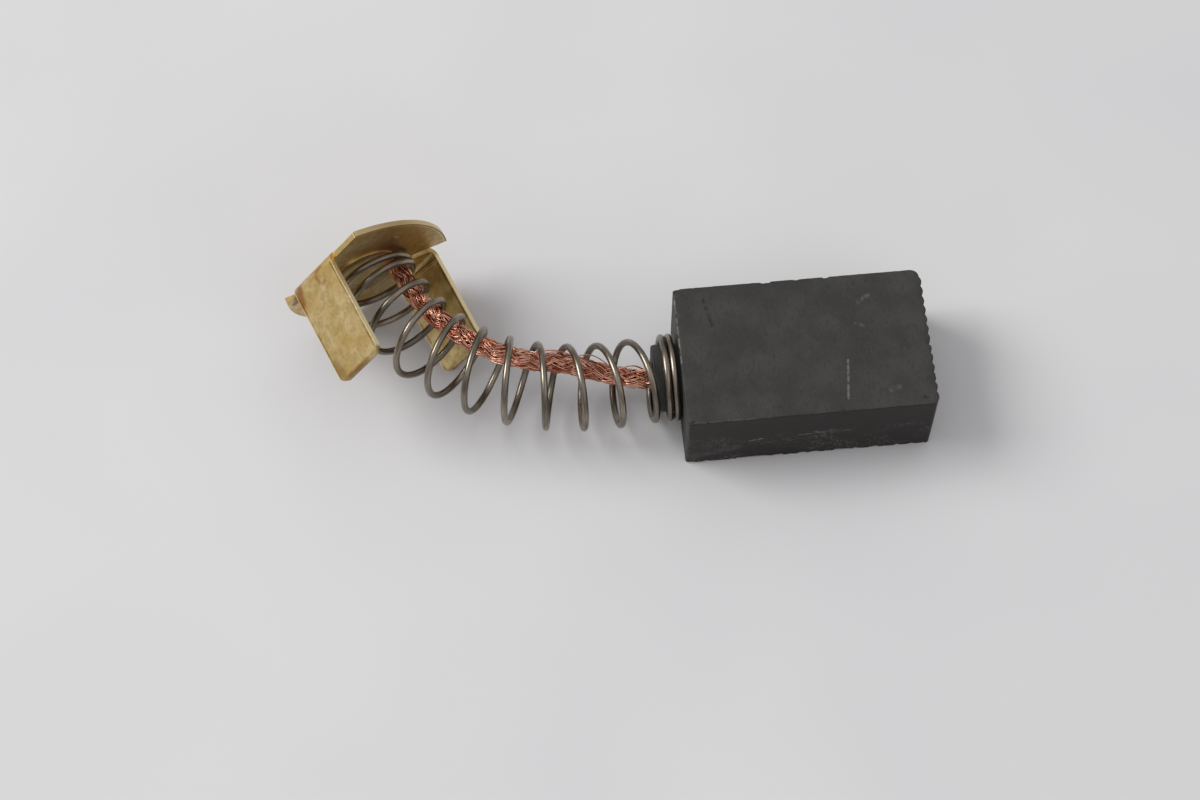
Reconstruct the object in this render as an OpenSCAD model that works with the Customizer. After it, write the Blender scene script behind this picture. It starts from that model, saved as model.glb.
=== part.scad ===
/* [Carbon block] */
// Length of the block from its back face to its wear face
block_length = 18.4; // [12:0.1:30]
// Width of the block across its guide faces
block_width = 11; // [9:0.1:20]
// Thickness of the block, standing on its lower guide face
block_thickness = 7; // [6.8:0.1:14]
// Radius of the worn upright corner of the block
worn_corner_radius = 0.6; // [0.3:0.1:1.5]
// Radius of the other upright corners
corner_radius = 0.25; // [0.1:0.05:0.6]
// Number of grooves that the commutator has cut across the wear face
groove_count = 13; // [6:1:24]
// Depth of each groove
groove_depth = 0.14; // [0.05:0.01:0.4]
// Diameter of the round boss that centres the spring
boss_diameter = 5; // [4:0.1:5.2]
// Length of the boss behind the block
boss_length = 1.9; // [1:0.1:3]
// Diameter of the copper powder tamped round the shunt
plug_diameter = 2.6; // [2.2:0.1:3.4]
// Depth of the hole for the tamped powder, from the end of the boss
plug_depth = 4.6; // [3:0.1:10]
// Depth of the powder's face below the end of the boss
plug_recess = 0.25; // [0.05:0.05:0.5]

/* [Spring] */
// Diameter of the spring wire
wire_diameter = 0.5; // [0.3:0.05:0.6]
// Mean diameter of the coils
coil_diameter = 6; // [5.95:0.05:6.3]
// Turns that lie closed against the block
closed_turns_block = 1.65; // [1:0.05:2.5]
// Working turns
open_turns = 10; // [7:0.1:11]
// Turns that lie closed on the terminal
closed_turns_terminal = 0.95; // [0.8:0.05:2.5]
// Angle at which the wire starts on the block's back face
wire_start_angle = 228; // [0:1:360]
// Length over which the spring leaves its closed turns on the block straight
lead_at_block = 2.9; // [2.5:0.1:4]
// Distance of the crown of the bend behind the closed turns on the block
crown_behind = 12.3; // [12:0.1:15]
// Distance of the crown to the outer side of the block's axis
crown_aside = 3.9; // [2.9:0.1:4.5]
// Height of the crown above the block's axis
crown_rise = 3.6; // [3:0.05:4.2]
// Length over which the spring meets the terminal square to its base
lead_at_terminal = 6.7; // [6:0.1:8]

/* [Shunt] */
// Diameter of the braided copper shunt
shunt_diameter = 1.5; // [1.2:0.05:1.6]
// Length over which the shunt moves from the boss to the inside of the bend
shunt_shift_length = 7; // [4:0.5:12]

/* [Terminal] */
// Thickness of the brass sheet
sheet = 0.4; // [0.3:0.05:0.6]
// Distance over the outer faces of the two legs
leg_span = 11.6; // [11.4:0.1:13]
// Length of the legs from the outer face of the base to their tips
leg_length = 8.5; // [5:0.1:9]
// Width of the legs and of the base between them
leg_width = 4.5; // [4:0.1:5]
// Radius at the corners of the leg tips
leg_corner = 0.7; // [0.3:0.1:1.5]
// Inside radius of the bend between base and leg
bend_radius = 0.3; // [0.2:0.05:0.5]
// Radius of the half-moon ear that stands up
upper_ear_radius = 9; // [8.8:0.05:10]
// Distance from the middle of the base to the centre of that radius, away from the ear's tip
upper_ear_shift = 0.5; // [0:0.05:0.8]
// Distance from the middle of the base down to the centre of that radius
upper_ear_drop = 2.9; // [2.4:0.1:3.2]
// Radius of the half-moon ear beside the floor
lower_ear_radius = 7.15; // [6.8:0.05:7.6]
// Distance from the middle of the base to the centre of that radius, towards the ear's tip
lower_ear_shift = 0.15; // [0:0.05:0.5]
// Distance from the middle of the base up to the centre of that radius
lower_ear_drop = 1.25; // [0.9:0.05:1.6]
// Width of the relief slot between an ear and a leg
relief_width = 0.7; // [0.4:0.05:0.8]
// Slope of the relief slot
relief_angle = 36.5; // [30:0.5:45]
// Diameter of the round seat pressed up in the base for the spring
pressed_diameter = 6; // [5:0.1:6.2]
// Distance of the pressed seat's centre from the middle of the base, towards the upper leg
pressed_aside = 0.5; // [0.2:0.05:0.6]
// Distance of the pressed seat's centre from the middle of the base, towards the lower ear
pressed_down = 0.18; // [0:0.02:0.4]
// Height of the pressed seat above the inner face of the base
seat_height = 0.15; // [0.05:0.05:0.25]
// Diameter of the solder that holds the shunt in the base
solder_diameter = 2.2; // [2.2:0.05:2.8]
// Height of the solder on the outer face of the base
solder_height = 0.9; // [0.8:0.05:1]

/* [Lie of the terminal] */
// Distance of the terminal's base behind the middle of the block
terminal_behind = 31.75; // [31:0.05:34]
// Distance of the terminal's base to the inner side of the block's axis
terminal_aside = 9.75; // [9:0.05:11]
// Roll of the terminal about its own axis
terminal_roll = 42.5; // [38:0.5:46]
// Dip of the legs towards the floor
terminal_dip = 4.4; // [2:0.2:5]
// Turn of the terminal away from the block's axis
terminal_turn = 67.4; // [64:0.2:72]
// Place of the spring's last turn across the base, towards the lower leg
seat_y = 0.58; // [0.4:0.02:1.2]
// Place of the spring's last turn across the base, away from the upper ear
seat_z = -0.12; // [-0.6:0.02:0.2]

/* [Hidden] */
$fn = 64;

carbon = [0.24, 0.24, 0.23];
copper = [0.72, 0.42, 0.3];
steel = [0.52, 0.5, 0.47];
brass = [0.74, 0.66, 0.44];
tin = [0.66, 0.66, 0.66];

// Clearances between the pieces
wire_clearance = 0.05;
shunt_clearance = 0.05;
coil_gap = 0.04;

// Steps of the curved pieces
bend_steps = 96;
steps_per_turn = 24;
wire_sides = 10;
shunt_steps = 44;
shunt_sides = 16;

axis_height = block_thickness / 2;
back_x = -block_length / 2;
wear_x = block_length / 2;
boss_end_x = back_x - boss_length;
wire_radius = wire_diameter / 2;
coil_radius = coil_diameter / 2;
shunt_radius = shunt_diameter / 2;
shunt_bore = shunt_diameter + 2 * shunt_clearance;
shunt_start_x = boss_end_x + plug_depth - 1;
shunt_in_solder = 0.2;
shunt_offset = coil_radius - wire_radius - shunt_radius - shunt_clearance;
bend_outer = bend_radius + sheet;
base_half = leg_span / 2 - bend_outer;
relief_y = base_half - 1.42;
relief_z = leg_width / 2 - 0.44;

// Rotations of a point, in the order in which the terminal is turned
function rot_x(a, p) = [p.x, p.y * cos(a) - p.z * sin(a), p.y * sin(a) + p.z * cos(a)];
function rot_y(a, p) = [p.x * cos(a) + p.z * sin(a), p.y, p.z * cos(a) - p.x * sin(a)];
function rot_z(a, p) = [p.x * cos(a) - p.y * sin(a), p.x * sin(a) + p.y * cos(a), p.z];
function turned(p) = rot_z(-terminal_turn, rot_y(terminal_dip, rot_x(-terminal_roll, p)));
function unturned(p) = rot_x(terminal_roll, rot_y(-terminal_dip, rot_z(terminal_turn, p)));

// The terminal rests on the rim of its lower ear or on the tip of its lower leg
rim_drop = lower_ear_radius * cos(terminal_dip) - turned([sheet, lower_ear_shift, lower_ear_drop]).z;
tip_drop = -turned([leg_length, leg_span / 2, -leg_width / 2]).z;
terminal_origin = [-terminal_behind, terminal_aside, max(rim_drop, tip_drop)];
function placed(p) = terminal_origin + turned(p);
function unplaced(p) = unturned(p - terminal_origin);

// Centre line of the spring: straight through the closed turns on the block, then bent to the terminal's base
closed_pitch = wire_diameter + coil_gap;
wire_start = wire_radius + wire_clearance;
straight = wire_start + closed_turns_block * closed_pitch;
seat_x = sheet + seat_height + wire_radius + wire_clearance;
bend_points = [
    [back_x - straight, 0, axis_height],
    [back_x - straight - lead_at_block, 0, axis_height],
    [back_x - straight - crown_behind, -crown_aside, axis_height + crown_rise],
    placed([seat_x + lead_at_terminal, seat_y, seat_z]),
    placed([seat_x, seat_y, seat_z])
];
function bend(u) =
    let (v = 1 - u, b = bend_points)
    v ^ 4 * b[0] + 4 * u * v ^ 3 * b[1] + 6 * u ^ 2 * v ^ 2 * b[2] + 4 * u ^ 3 * v * b[3] + u ^ 4 * b[4];
function bend_slope(u) =
    let (v = 1 - u, b = bend_points)
    v ^ 3 * (b[1] - b[0]) + 3 * u * v ^ 2 * (b[2] - b[1]) + 3 * u ^ 2 * v * (b[3] - b[2]) + u ^ 3 * (b[4] - b[3]);
function unit(p) = p / norm(p);

// Place on the centre line for a length along it
knots = [for (i = [0:bend_steps]) bend(i / bend_steps)];
runs = [for (i = 0, s = 0; i <= bend_steps; s = i < bend_steps ? s + norm(knots[i + 1] - knots[i]) : s, i = i + 1) s];
bend_table = [for (i = [0:bend_steps]) [straight + runs[i], i / bend_steps]];
bend_length = straight + runs[bend_steps];
function along(s) = s < straight ? [back_x - s, 0, axis_height] : bend(lookup(s, bend_table));
function forward(s) = unit(bend_slope(lookup(s, bend_table)));
function inward(s) = unit(cross(forward(s), [0, 0, 1]));
function upward(s) = cross(inward(s), forward(s));

// Wire of the spring: closed turns, open turns, closed turns
turns = closed_turns_block + open_turns + closed_turns_terminal;
turn_table = [
    [0, wire_start],
    [closed_turns_block, straight],
    [turns - closed_turns_terminal, bend_length - closed_turns_terminal * closed_pitch],
    [turns, bend_length]
];
function outward(n) =
    let (s = lookup(n, turn_table), a = wire_start_angle - 360 * n)
    cos(a) * inward(s) + sin(a) * upward(s);
function wire_point(n) = along(lookup(n, turn_table)) + coil_radius * outward(n);

// Centre line of the shunt: straight in the boss, then along the inside of the bend
shunt_exit = boss_length + 0.2;
function ease(x) = let (c = min(max(x, 0), 1)) c * c * (3 - 2 * c);
function shunt_point(s) =
    let (w = ease((s - shunt_exit) / shunt_shift_length))
    (1 - w) * [back_x - s, 0, axis_height] + w * (along(s) + shunt_offset * inward(s));
shunt_seat = unplaced(shunt_point(bend_length));
shunt_path = concat(
    [[shunt_start_x, 0, axis_height]],
    [for (i = [0:shunt_steps]) shunt_point(boss_length + (bend_length - boss_length) * i / shunt_steps)],
    [placed([-shunt_in_solder, shunt_seat.y, shunt_seat.z])]
);

// Round section carried along a path, with one side vector for each place on it
function path_forward(path, i) = unit(path[min(i + 1, len(path) - 1)] - path[max(i - 1, 0)]);
function ring(path, sides, radius, count, i) =
    let (t = path_forward(path, i), a = unit(sides[i] - (sides[i] * t) * t), b = cross(t, a))
    [for (j = [0:count - 1]) path[i] + radius * (cos(360 * j / count) * a + sin(360 * j / count) * b)];
module carried_round(path, sides, radius, count) {
    last = len(path) - 1;
    rings = [for (i = [0:last]) each ring(path, sides, radius, count, i)];
    walls = [
        for (i = [0:last - 1], j = [0:count - 1])
            let (k = (j + 1) % count, a = i * count, b = a + count)
            each [[a + j, b + j, b + k], [a + j, b + k, a + k]]
    ];
    first_end = [for (j = [0:count - 1]) j];
    last_end = [for (j = [0:count - 1]) last * count + count - 1 - j];
    polyhedron(rings, concat(walls, [first_end, last_end]));
}

// Plan of the block: rounded corners and a wear face scalloped by the grooves
module block_plan() {
    waves = groove_count * 6;
    y_out = block_width / 2 - worn_corner_radius;
    y_in = block_width / 2 - corner_radius;
    worn = [
        for (i = [0:waves])
            let (f = i / waves, y = -y_in + f * (y_in + y_out))
            [wear_x - groove_depth * (1 - abs(sin(180 * groove_count * f))), y]
    ];
    polygon(concat(worn, [[0, y_out], [0, -y_in]]));
    translate([back_x + corner_radius, -block_width / 2])
    square([block_length - 2 * corner_radius - groove_depth, block_width - corner_radius]);
    translate([back_x, -y_in])
    square([block_length / 2, 2 * y_in]);
    translate([back_x + corner_radius, 0])
    square([block_length - corner_radius - worn_corner_radius - groove_depth, block_width / 2]);
    for (y = [-y_in, y_in])
        translate([back_x + corner_radius, y])
        circle(r = corner_radius);
    translate([wear_x - groove_depth - corner_radius, -y_in])
    circle(r = corner_radius);
    translate([wear_x - groove_depth - worn_corner_radius, y_out])
    circle(r = worn_corner_radius);
}

module carbon_block() {
    color(carbon)
    difference() {
        union() {
            linear_extrude(block_thickness)
            block_plan();
            translate([boss_end_x, 0, axis_height])
            rotate([0, 90, 0])
            cylinder(d = boss_diameter, h = boss_length + 1);
        }
        translate([boss_end_x - 1, 0, axis_height])
        rotate([0, 90, 0])
        cylinder(d = plug_diameter, h = plug_depth + 1);
    }
}

module tamped_plug() {
    color(copper)
    translate([boss_end_x + plug_recess, 0, axis_height])
    rotate([0, 90, 0])
    difference() {
        cylinder(d = plug_diameter, h = plug_depth - plug_recess);
        translate([0, 0, -1])
        cylinder(d = shunt_bore, h = plug_depth - plug_recess);
    }
}

module compression_spring() {
    rounds = ceil(turns * steps_per_turn);
    places = [for (i = [0:rounds]) turns * i / rounds];
    color(steel)
    carried_round(
        [for (n = places) wire_point(n)],
        [for (n = places) outward(n)],
        wire_radius,
        wire_sides
    );
}

module shunt() {
    color(copper)
    carried_round(shunt_path, [for (p = shunt_path) [0, 0, 1]], shunt_radius, shunt_sides);
}

// One relief slot of the terminal's flat blank
module relief_slot() {
    translate([relief_y, relief_z])
    rotate(relief_angle) {
        circle(d = relief_width);
        translate([0, -relief_width / 2])
        square([leg_span, relief_width]);
    }
}

// One half-moon ear of the flat blank, cut back along its relief slot
module ear(radius, shift, drop) {
    difference() {
        intersection() {
            translate([-shift, -drop])
            circle(r = radius);
            translate([-base_half, 0])
            square([base_half + radius, radius]);
        }
        translate([relief_y, relief_z])
        rotate(relief_angle)
        translate([0, relief_width / 2 - leg_span])
        square(leg_span);
    }
}

module shunt_hole() {
    translate([shunt_seat.y, shunt_seat.z])
    circle(d = shunt_bore);
}

// The base with its ears, drawn flat: across the legs, then towards the upper ear
module base_blank() {
    difference() {
        union() {
            square([2 * base_half, leg_width], center = true);
            ear(upper_ear_radius, upper_ear_shift, upper_ear_drop);
            rotate(180)
            ear(lower_ear_radius, -lower_ear_shift, lower_ear_drop);
        }
        relief_slot();
        rotate(180)
        relief_slot();
        shunt_hole();
    }
}

// The round seat for the spring, drawn flat in the same way
module seat_blank() {
    difference() {
        translate([-pressed_aside, -pressed_down])
        circle(d = pressed_diameter);
        shunt_hole();
    }
}

// Bend from the base into one leg, seen along the leg's width
module bend_section() {
    intersection() {
        difference() {
            circle(r = bend_outer);
            circle(r = bend_radius);
        }
        translate([-bend_outer, 0])
        square(bend_outer);
    }
}

// Face of one leg, rounded at its tip
module leg_face() {
    translate([bend_outer, -leg_width / 2])
    square([leg_length - bend_outer - leg_corner, leg_width]);
    translate([bend_outer, leg_corner - leg_width / 2])
    square([leg_length - bend_outer, leg_width - 2 * leg_corner]);
    for (z = [-1, 1])
        translate([leg_length - leg_corner, z * (leg_width / 2 - leg_corner)])
        circle(r = leg_corner);
}

module bent_leg() {
    translate([bend_outer, base_half, 0])
    linear_extrude(leg_width, center = true)
    bend_section();
    translate([0, leg_span / 2, 0])
    rotate([90, 0, 0])
    linear_extrude(sheet)
    leg_face();
}

// Places a piece drawn in the terminal's own frame: legs along X, base at the origin
module at_terminal() {
    translate(terminal_origin)
    rotate([-terminal_roll, terminal_dip, -terminal_turn])
    children();
}

module terminal() {
    color(brass)
    at_terminal() {
        rotate([90, 0, 90])
        linear_extrude(sheet)
        base_blank();
        rotate([90, 0, 90])
        linear_extrude(sheet + seat_height)
        seat_blank();
        bent_leg();
        rotate([180, 0, 0])
        bent_leg();
    }
}

module solder_joint() {
    dome_radius = (solder_diameter ^ 2 / 4 + solder_height ^ 2) / (2 * solder_height);
    color(tin)
    at_terminal()
    translate([0, shunt_seat.y, shunt_seat.z])
    difference() {
        translate([dome_radius - solder_height, 0, 0])
        sphere(r = dome_radius);
        translate([0, -solder_diameter, -solder_diameter])
        cube(2 * solder_diameter);
        rotate([0, -90, 0])
        cylinder(d = shunt_bore, h = shunt_in_solder + shunt_clearance);
    }
}

carbon_block();
tamped_plug();
compression_spring();
shunt();
terminal();
solder_joint();
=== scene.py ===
"""Carbon brush of a motor: carbon block, compression spring, braided copper shunt and folded brass terminal.

Lengths that stand in millimetres are turned to metres by MM. The carbon block lies on the floor with its
length along X and its wear face at +X. The terminal hangs on the bent spring behind it.
"""
import itertools
import logging
import math
from dataclasses import dataclass, field
from enum import Enum

import bmesh
import bpy
import numpy as np
from mathutils import Matrix, Vector


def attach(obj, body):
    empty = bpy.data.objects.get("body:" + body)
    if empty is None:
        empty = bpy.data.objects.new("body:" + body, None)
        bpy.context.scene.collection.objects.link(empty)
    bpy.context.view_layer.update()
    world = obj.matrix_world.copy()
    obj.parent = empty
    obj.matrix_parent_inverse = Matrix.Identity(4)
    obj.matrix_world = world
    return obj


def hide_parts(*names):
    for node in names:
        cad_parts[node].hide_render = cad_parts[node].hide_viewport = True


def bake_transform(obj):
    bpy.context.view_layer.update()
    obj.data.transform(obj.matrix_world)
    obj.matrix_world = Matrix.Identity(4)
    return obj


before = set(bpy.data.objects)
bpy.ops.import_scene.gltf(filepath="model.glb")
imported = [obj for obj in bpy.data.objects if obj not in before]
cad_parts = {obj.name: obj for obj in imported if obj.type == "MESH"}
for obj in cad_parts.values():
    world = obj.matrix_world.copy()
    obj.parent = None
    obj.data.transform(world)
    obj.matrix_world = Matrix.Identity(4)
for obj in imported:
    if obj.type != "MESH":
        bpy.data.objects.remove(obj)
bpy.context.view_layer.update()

MM = 0.001
UP = np.array([0.0, 0.0, 1.0])
LATTICE_PRIMES = (73856093, 19349663, 83492791)
SEED_PRIME = 2654435761
MIX_PRIME = 1274126177
Tree = bpy.types.NodeTree
Socket = bpy.types.NodeSocket
Point = tuple[float, float, float]
Colour = tuple[float, float, float, float]
log = logging.getLogger("carbon_brush")


class Body(Enum):
    """The two bodies that move against each other."""

    BRUSH = "brush"
    TERMINAL = "terminal"


class Slot(Enum):
    """Material slots of the record."""

    CARBON = "carbon"
    POWDER = "copper_powder"
    SPRING = "spring_steel"
    BRAID = "copper_braid"
    BRASS = "sheet_brass"
    SOLDER = "solder"


# ---- Arrays ----


def unit(vectors: np.ndarray) -> np.ndarray:
    """Vectors of length one, along the last axis."""
    return vectors / np.linalg.norm(vectors, axis=-1, keepdims=True)


def ease(value: np.ndarray, low: float = 0.0, high: float = 1.0) -> np.ndarray:
    """Smooth step: 0 up to low, 1 from high on, and 3t^2 - 2t^3 between them.

    Args:
        value: Any array.
        low: Where the step starts.
        high: Where the step ends. It may be less than low, for a step down.

    Returns:
        The step's height at each value.
    """
    t = np.clip((value - low) / (high - low), 0.0, 1.0)
    return t * t * (3.0 - 2.0 * t)


def run_along(line: np.ndarray) -> np.ndarray:
    """Length from the start of a line to each of its points."""
    return np.concatenate([[0.0], np.cumsum(np.linalg.norm(np.diff(line, axis=0), axis=1))])


def resampled(at: np.ndarray, run: np.ndarray, values: np.ndarray) -> np.ndarray:
    """Values of a line, such as its places or directions, at lengths along it.

    Args:
        at: Lengths at which the values are wanted.
        run: Length at each point of the line.
        values: One row for each point of the line.

    Returns:
        One row for each length.
    """
    return np.stack([np.interp(at, run, column) for column in values.T], axis=-1)


def grain(points: np.ndarray, spacing: float, seed: int) -> np.ndarray:
    """Smooth random field from 0 to 1: lattice values mixed by a smooth step between the eight nearest ones.

    Args:
        points: Places, with three coordinates on the last axis.
        spacing: Size of a lattice cell, in the unit of the points.
        seed: Number of the field.

    Returns:
        One value for each place.
    """
    cells = points / spacing
    low = np.floor(cells).astype(np.int64)
    part = ease(cells - low)
    total = np.zeros(points.shape[:-1])
    for corner in itertools.product((0, 1), repeat=3):
        at = low + np.array(corner)
        spots = at * np.array(LATTICE_PRIMES)
        key = spots[..., 0] ^ spots[..., 1] ^ spots[..., 2] ^ (seed * SEED_PRIME)
        key = ((key ^ (key >> 13)) * MIX_PRIME) & 0xFFFFFFFF
        value = ((key ^ (key >> 16)) & 0xFFFFFF) / 0xFFFFFF
        total += value * np.prod(np.where(corner, part, 1.0 - part), axis=-1)
    return total


def grid_faces(rows: int, columns: int) -> np.ndarray:
    """Quads of a grid whose last column joins its first.

    Args:
        rows: Number of rings.
        columns: Points on each ring.

    Returns:
        One row of four indices for each quad.
    """
    row, column = np.meshgrid(np.arange(rows - 1), np.arange(columns), indexing="ij")
    following = (column + 1) % columns
    here, above = row * columns, (row + 1) * columns
    corners = (here + column, here + following, above + following, above + column)
    return np.stack(corners, axis=-1).reshape(-1, 4)


def linked(name: str, data: bpy.types.ID) -> bpy.types.Object:
    """New object with this mesh, lamp or camera, linked to the scene, at the origin."""
    made = bpy.data.objects.new(name, data)
    bpy.context.scene.collection.objects.link(made)
    return made


@dataclass
class Shell:
    """Closed surface as arrays, with values that the finish reads at its points.

    Attributes:
        points: Places in metres, one row each.
        quads: Four indices on each row.
        caps: Faces with more corners, which close the ends.
        place: Length along a wire in mm, then cosine and sine of the angle round it.
        tone: Random value of the wire that the point belongs to; 2 on the braid's dark inner tube, which is
            painted shade.
    """

    points: np.ndarray
    quads: np.ndarray
    caps: list[list[int]] = field(default_factory=list)
    place: np.ndarray | None = None
    tone: np.ndarray | None = None

    def joined(self, other: "Shell") -> "Shell":
        """This shell and another as one, with the values of both.

        Args:
            other: The shell to add.

        Returns:
            A new shell.
        """
        shift = len(self.points)
        caps = self.caps + [[index + shift for index in cap] for cap in other.caps]
        place = None if self.place is None else np.vstack([self.place, other.place])
        tone = None if self.tone is None else np.concatenate([self.tone, other.tone])
        points = np.vstack([self.points, other.points])
        quads = np.vstack([self.quads, other.quads + shift])
        return Shell(points, quads, caps, place, tone)

    def piece(self, name: str) -> bpy.types.Object:
        """A smooth object with this surface.

        Args:
            name: Name of the object.

        Returns:
            The object, linked to the scene, at the origin.
        """
        mesh = bpy.data.meshes.new(name)
        mesh.from_pydata(self.points, [], self.quads.tolist() + self.caps)
        if self.place is not None:
            layer = mesh.attributes.new("place", "FLOAT_VECTOR", "POINT")
            layer.data.foreach_set("vector", self.place.ravel())
        if self.tone is not None:
            layer = mesh.attributes.new("tone", "FLOAT", "POINT")
            layer.data.foreach_set("value", self.tone)
        mesh.shade_smooth()
        mesh.update()
        return linked(name, mesh)


def closed_grid(points: np.ndarray) -> Shell:
    """Shell of rings of points in mm, closed by a face at the first and at the last ring."""
    rows, columns = points.shape[:2]
    caps = [list(range(columns))[::-1], list(range((rows - 1) * columns, rows * columns))]
    return Shell(points.reshape(-1, 3) * MM, grid_faces(rows, columns), caps)


def wires(paths: np.ndarray, sideways: np.ndarray, radius: float, sides: int, seed: int) -> Shell:
    """Round wires: circles of one radius carried along each path, closed by a flat face at both ends.

    Args:
        paths: Centre lines, as wire, step and coordinate.
        sideways: A vector off each path, at each step.
        radius: Radius of the wires.
        sides: Points round a wire.
        seed: Number of the random draw for the wires' tones.

    Returns:
        All wires as one shell.
    """
    count, steps, _ = paths.shape
    forward = unit(np.gradient(paths, axis=1))
    first = unit(sideways - (sideways * forward).sum(-1, keepdims=True) * forward)
    second = np.cross(forward, first)
    angle = 2.0 * np.pi * np.arange(sides) / sides
    round_first = np.cos(angle)[:, None] * first[:, :, None, :]
    round_second = np.sin(angle)[:, None] * second[:, :, None, :]
    points = paths[:, :, None, :] + radius * (round_first + round_second)
    each = grid_faces(steps, sides)
    starts = np.arange(count) * steps * sides
    quads = (each[None] + starts[:, None, None]).reshape(-1, 4)
    first_caps = starts[:, None] + np.arange(sides)[::-1]
    last_caps = starts[:, None] + (steps - 1) * sides + np.arange(sides)
    run = np.cumsum(np.linalg.norm(np.diff(paths, axis=1, prepend=paths[:, :1]), axis=-1), axis=1) / MM
    place = np.empty(points.shape)
    place[..., 0] = run[:, :, None]
    place[..., 1] = np.cos(angle)
    place[..., 2] = np.sin(angle)
    tone = np.repeat(np.random.default_rng(seed).random(count), steps * sides)
    caps = first_caps.tolist() + last_caps.tolist()
    return Shell(points.reshape(-1, 3), quads, caps, place.reshape(-1, 3), tone)


# ---- Finishes ----


def linear(hex_colour: str) -> Colour:
    """Linear colour for an sRGB hex value such as "c8b478".

    Args:
        hex_colour: Six hex digits.

    Returns:
        Red, green, blue and an alpha of one.
    """
    shares = np.array([int(hex_colour[i : i + 2], 16) for i in (0, 2, 4)]) / 255.0
    bent = np.where(shares <= 0.04045, shares / 12.92, ((shares + 0.055) / 1.055) ** 2.4)
    return (float(bent[0]), float(bent[1]), float(bent[2]), 1.0)


def feed(tree: Tree, node: bpy.types.Node, inputs: dict) -> None:
    """Sets or links inputs of a node.

    Args:
        tree: Tree of the material or the world.
        node: The node.
        inputs: Input name or number, to a value or to the socket that feeds it.
    """
    for name, value in inputs.items():
        if isinstance(value, Socket):
            tree.links.new(value, node.inputs[name])
        else:
            node.inputs[name].default_value = value


def add(tree: Tree, kind: str, inputs: dict | None = None, **settings: object) -> Socket | None:
    """Adds one node with its settings and links.

    Args:
        tree: Tree of the material or the world.
        kind: Type of the node, without the ShaderNode in front.
        inputs: Input name or number, to a value or to the socket that feeds it.
        settings: Properties of the node.

    Returns:
        The first of its outputs that is in use, if it has one.
    """
    node = tree.nodes.new("ShaderNode" + kind)
    for name, value in settings.items():
        setattr(node, name, value)
    feed(tree, node, inputs or {})
    return next((output for output in node.outputs if output.enabled), None)


def per_metre(size_mm: float) -> float:
    """Scale of a pattern on coordinates in metres, for one cell of that size in millimetres."""
    return 1.0 / (size_mm * MM)


def object_place(tree: Tree) -> Socket:
    """Socket with the Object coordinates, in metres."""
    return add(tree, "TexCoord").node.outputs["Object"]


def spread(tree: Tree, value: Socket, low: float, high: float) -> Socket:
    """Smooth step of a socket's value from 0 at low to 1 at high.

    Args:
        tree: Tree of the material.
        value: Socket with the value.
        low: Value that gives 0.
        high: Value that gives 1.

    Returns:
        Socket with the step.
    """
    inputs = {"Value": value, "From Min": low, "From Max": high}
    return add(tree, "MapRange", inputs, interpolation_type="SMOOTHSTEP")


def product(tree: Tree, *factors: Socket | float) -> Socket:
    """Product of two or more values or sockets.

    Args:
        tree: Tree of the material.
        factors: The values.

    Returns:
        Socket with the product.
    """
    result = factors[0]
    for factor in factors[1:]:
        result = add(tree, "Math", {0: result, 1: factor}, operation="MULTIPLY")
    return result


def layered(tree: Tree, base: str, coats: list[tuple[Socket, str]]) -> Socket:
    """Colour of coats laid over a base one after the other, each mixed into what lies below it.

    Args:
        tree: Tree of the material.
        base: Hex colour of the base.
        coats: Share that the coat hides of what lies below, and its hex colour.

    Returns:
        Socket with the colour.
    """
    colour = linear(base)
    for share, tone in coats:
        colour = add(tree, "Mix", {"Factor": share, 6: colour, 7: linear(tone)}, data_type="RGBA")
    return colour


@dataclass(frozen=True)
class Mark:
    """Mark round a straight line, such as a scratch, smudge or stain, or a painted highlight, shade or
    reflection. Sizes in mm.

    Attributes:
        start: Start of the line.
        end: Its end, which differs from the start.
        width: Distance from the line at which the mark ends.
        tone: Hex colour of the mark.
        cover: Share of what lies below that the mark hides.
    """

    start: Point
    end: Point
    width: float
    tone: str
    cover: float

    def coat(self, tree: Tree, place: Socket, broken: Socket) -> tuple[Socket, str]:
        """The mark as a coat: whole on its line and gone at its width.

        Args:
            tree: Tree of the material.
            place: Socket with the coordinates in metres.
            broken: Socket with a share that breaks the mark up.

        Returns:
            Socket with the mark's share, and its hex colour.
        """
        start, end = np.array(self.start) * MM, np.array(self.end) * MM
        line = end - start
        off = add(tree, "VectorMath", {0: place, 1: tuple(start)}, operation="SUBTRACT")
        along = add(tree, "VectorMath", {0: off, 1: tuple(line / (line @ line))}, operation="DOT_PRODUCT")
        held = add(tree, "Clamp", {"Value": along})
        foot = add(tree, "VectorMath", {0: tuple(line), "Scale": held}, operation="SCALE")
        gap = add(tree, "VectorMath", {0: off, 1: foot}, operation="DISTANCE")
        share = spread(tree, gap, self.width * MM, 0.2 * self.width * MM)
        return product(tree, share, broken, self.cover), self.tone


def new_material(name: str) -> tuple[bpy.types.Material, Tree, bpy.types.Node]:
    """Empty material with a Principled shader on its output.

    Args:
        name: Name of the material.

    Returns:
        The material, its tree and its shader.
    """
    material = bpy.data.materials.new(name)
    material.use_nodes = True
    tree = material.node_tree
    tree.nodes.clear()
    surface = add(tree, "BsdfPrincipled")
    add(tree, "OutputMaterial", {"Surface": surface})
    return material, tree, surface.node


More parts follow.
